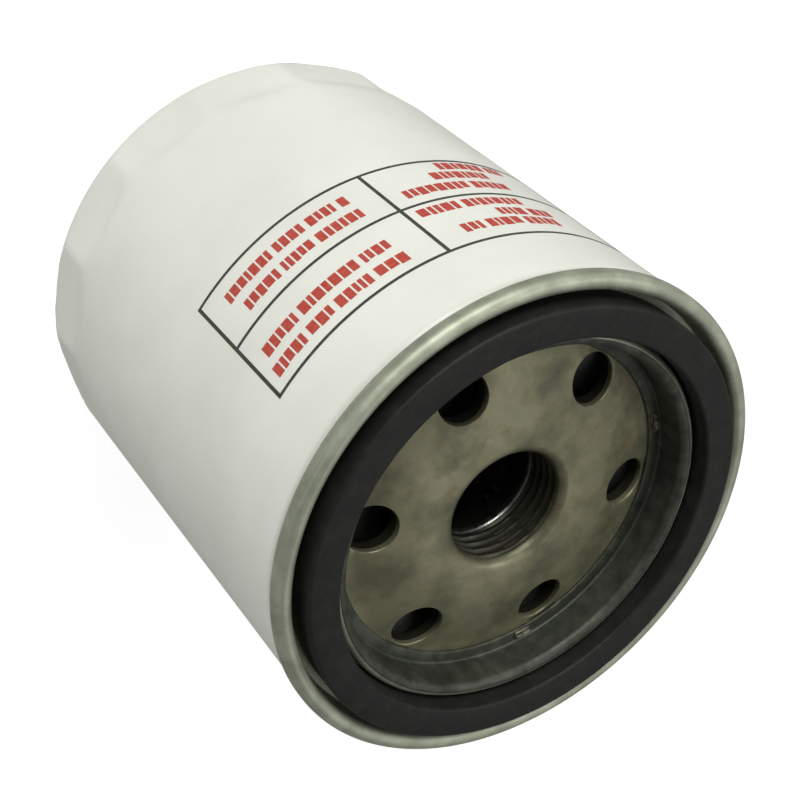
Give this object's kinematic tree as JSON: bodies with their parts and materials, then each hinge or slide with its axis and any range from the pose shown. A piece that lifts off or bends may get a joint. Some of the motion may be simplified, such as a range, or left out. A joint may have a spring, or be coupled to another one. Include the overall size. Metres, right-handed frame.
{
  "type": "oil filter",
  "caption": "Spin-on engine oil filter: white drawn can with wrench flats, rolled seam, flat ring gasket and a dished base plate with a threaded centre hole and inlet holes.",
  "frame": {"origin": "centre of the ring the closed end stands on, on the filter's axis", "axes": "+Z along the filter's axis, from the closed end to the threaded end; +X is an arbitrary radius, with the first inlet hole 13 degrees from it"},
  "size_m": [0.0762, 0.0762, 0.0861],
  "materials": {
    "can_paint": "semi-gloss off-white paint",
    "zinc_sheet": "satin galvanised sheet",
    "seam_compound": "matt",
    "plate_steel": "oiled, blotchy zinc plating",
    "weld_metal": "rough",
    "gasket_rubber": "matt moulded",
    "valve_rubber": "satin moulded",
    "tin_plate": "bright tin plate",
    "plastisol": "matt cured plastisol",
    "filter_paper": "matt resin-treated paper",
    "tube_steel": "oiled bare steel",
    "poppet_nylon": "satin",
    "spring_steel": "oiled wire"
  },
  "bodies": {
    "can": {"can_shell": "can_paint", "seaming_lid": "zinc_sheet", "seam_sealant": "seam_compound", "base_plate": "plate_steel", "weld_spots": "weld_metal", "gasket": "gasket_rubber"},
    "drainback_valve": {"drainback_valve": "valve_rubber"},
    "element": {"element_seal": "valve_rubber", "upper_end_cap": "tin_plate", "upper_adhesive": "plastisol", "pleated_paper": "filter_paper", "paper_clip": "tin_plate", "centre_tube": "tube_steel", "lower_adhesive": "plastisol", "lower_end_cap": "tin_plate", "bypass_seat": "valve_rubber", "bypass_cage": "tin_plate", "support_spring": "spring_steel"},
    "bypass_poppet": {"bypass_poppet": "poppet_nylon", "bypass_spring": "spring_steel"}
  },
  "joints": [
    {"name": "element_float", "type": "slide", "parent": "can", "child": "element", "axis": [0, 0, -1], "range_m": [0, 0.002], "stiffness_N_per_m": 3000, "springref_m": -0.01, "deforming": ["support_spring"]},
    {"name": "drainback_valve_lift", "type": "slide", "parent": "can", "child": "drainback_valve", "axis": [0, 0, -1], "range_m": [0, 0.001], "stiffness_N_per_m": 150, "springref_m": -0.004},
    {"name": "bypass_lift", "type": "slide", "parent": "element", "child": "bypass_poppet", "axis": [0, 0, 1], "range_m": [0, 0.003], "stiffness_N_per_m": 500, "springref_m": -0.012, "deforming": ["bypass_spring"]}
  ]
}
